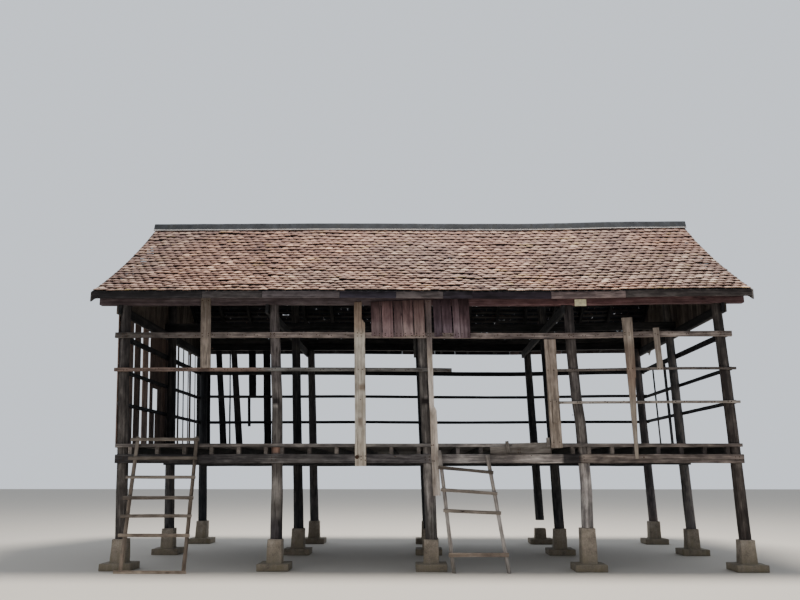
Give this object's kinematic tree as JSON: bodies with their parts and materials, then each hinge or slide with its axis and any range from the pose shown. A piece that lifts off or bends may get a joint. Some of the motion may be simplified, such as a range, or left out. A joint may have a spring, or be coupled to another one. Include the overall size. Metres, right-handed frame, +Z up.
{
  "type": "stilt house",
  "caption": "Open timber house on plinths: leaning post-and-beam frame, raised floor, few wall boards left, two ladders and a tiled gable roof with a cement ridge.",
  "frame": {"origin": "on the ground, in the middle of the underside of the plinth in the middle of the house", "axes": "+X along the ridge to the right, +Y from the open front with the ladders to the back, +Z up"},
  "size_m": [9.85, 5.6313, 5.92],
  "materials": {
    "plinth_concrete": "rough weathered concrete, stained at the foot",
    "grey_timber": "weathered grey-brown hardwood, sawn and hewn",
    "dark_timber": "old smoke-dark hardwood",
    "red_timber": "reddish brown weathered boards",
    "pale_board": "pale weathered boards",
    "ladder_pole": "bare weathered poles and bars",
    "roof_tile": "faded unglazed clay tiles",
    "ridge_cement": "dark weathered cement",
    "iron_nail": "rusty nail heads"
  },
  "bodies": {
    "root": {"front_plinths": "plinth_concrete", "middle_plinths": "plinth_concrete", "back_plinths": "plinth_concrete", "front_posts": "grey_timber", "middle_posts": "dark_timber", "back_posts": "dark_timber", "cut_back_post": "dark_timber", "front_floor_beam": "grey_timber", "middle_floor_beam": "dark_timber", "back_floor_beam": "dark_timber", "floor_joists": "dark_timber", "front_floor": "grey_timber", "back_floor": "grey_timber", "floor_edge_bars": "grey_timber", "front_upper_girt": "grey_timber", "front_middle_girt": "grey_timber", "front_lower_girt": "grey_timber", "back_girts": "dark_timber", "end_wall_girts": "dark_timber", "front_wall_plate": "red_timber", "middle_plate": "dark_timber", "back_wall_plate": "dark_timber", "tie_beams": "dark_timber", "pole_plates": "dark_timber", "ridge_beam": "dark_timber", "front_rafters": "dark_timber", "back_rafters": "dark_timber", "front_battens": "dark_timber", "back_battens": "dark_timber", "front_tiles": "roof_tile", "back_tiles": "roof_tile", "ridge_cap": "ridge_cement", "eave_fascias": "grey_timber", "bargeboards": "grey_timber", "front_studs": "pale_board", "front_upper_boards": "red_timber", "back_wall_boards": "dark_timber", "left_wall_boards": "dark_timber", "gable_boards": "dark_timber", "right_wall_stud": "dark_timber", "beam_patch_board": "pale_board", "left_ladder_poles": "ladder_pole", "left_ladder_rungs": "ladder_pole", "right_ladder_poles": "ladder_pole", "right_ladder_rungs": "ladder_pole"}
  },
  "joints": []
}
